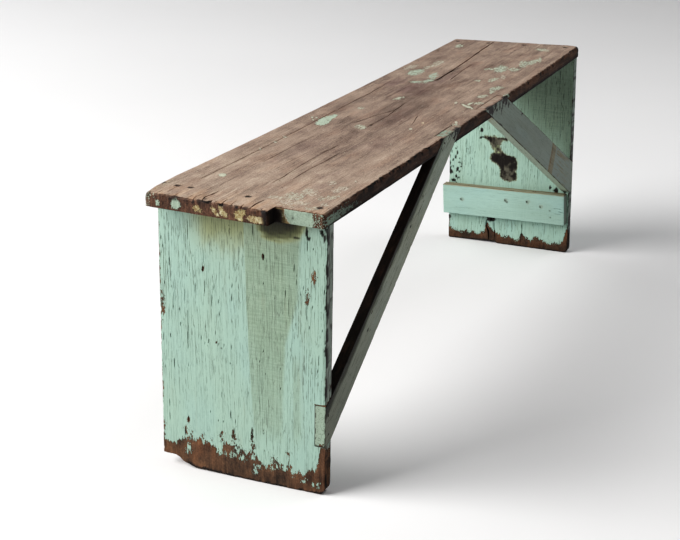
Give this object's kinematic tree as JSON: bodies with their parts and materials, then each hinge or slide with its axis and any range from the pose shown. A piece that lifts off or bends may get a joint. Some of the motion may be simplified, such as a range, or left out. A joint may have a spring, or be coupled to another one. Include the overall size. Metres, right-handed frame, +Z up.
{
  "type": "bucket bench",
  "caption": "Long low board bench on two upright board legs, with diagonal braces let into the front edges and a batten across one leg.",
  "frame": {"origin": "floor level, at the middle of the bench's length and width", "axes": "+X along the seat towards the end with the short overhang, -Y the braced front, +Z up"},
  "size_m": [1.342, 0.2905, 0.457],
  "materials": {
    "weathered_seat_wood": "bare weathered boards with worn-off remnants of pale green paint",
    "painted_leg_wood": "old mint green paint, finely crackled along the grain, worn to brown wood at the foot",
    "painted_brace_wood": "old grey green paint, worn dark along the edges",
    "painted_cleat_wood": "smooth mint green paint with a bare worn upper edge",
    "nail_iron": "dark rusted cut nail heads"
  },
  "bodies": {
    "root": {"seat_board": "weathered_seat_wood", "near_leg_board": "painted_leg_wood", "far_leg_board": "painted_leg_wood", "near_brace": "painted_brace_wood", "far_brace": "painted_brace_wood", "far_leg_cleat": "painted_cleat_wood", "nails_seat_to_near_leg": "nail_iron", "nails_seat_to_far_leg": "nail_iron", "nails_near_brace_head": "nail_iron", "nails_near_brace_foot": "nail_iron", "nails_far_brace_head": "nail_iron", "nails_far_brace_foot": "nail_iron", "nails_cleat": "nail_iron"}
  },
  "joints": []
}
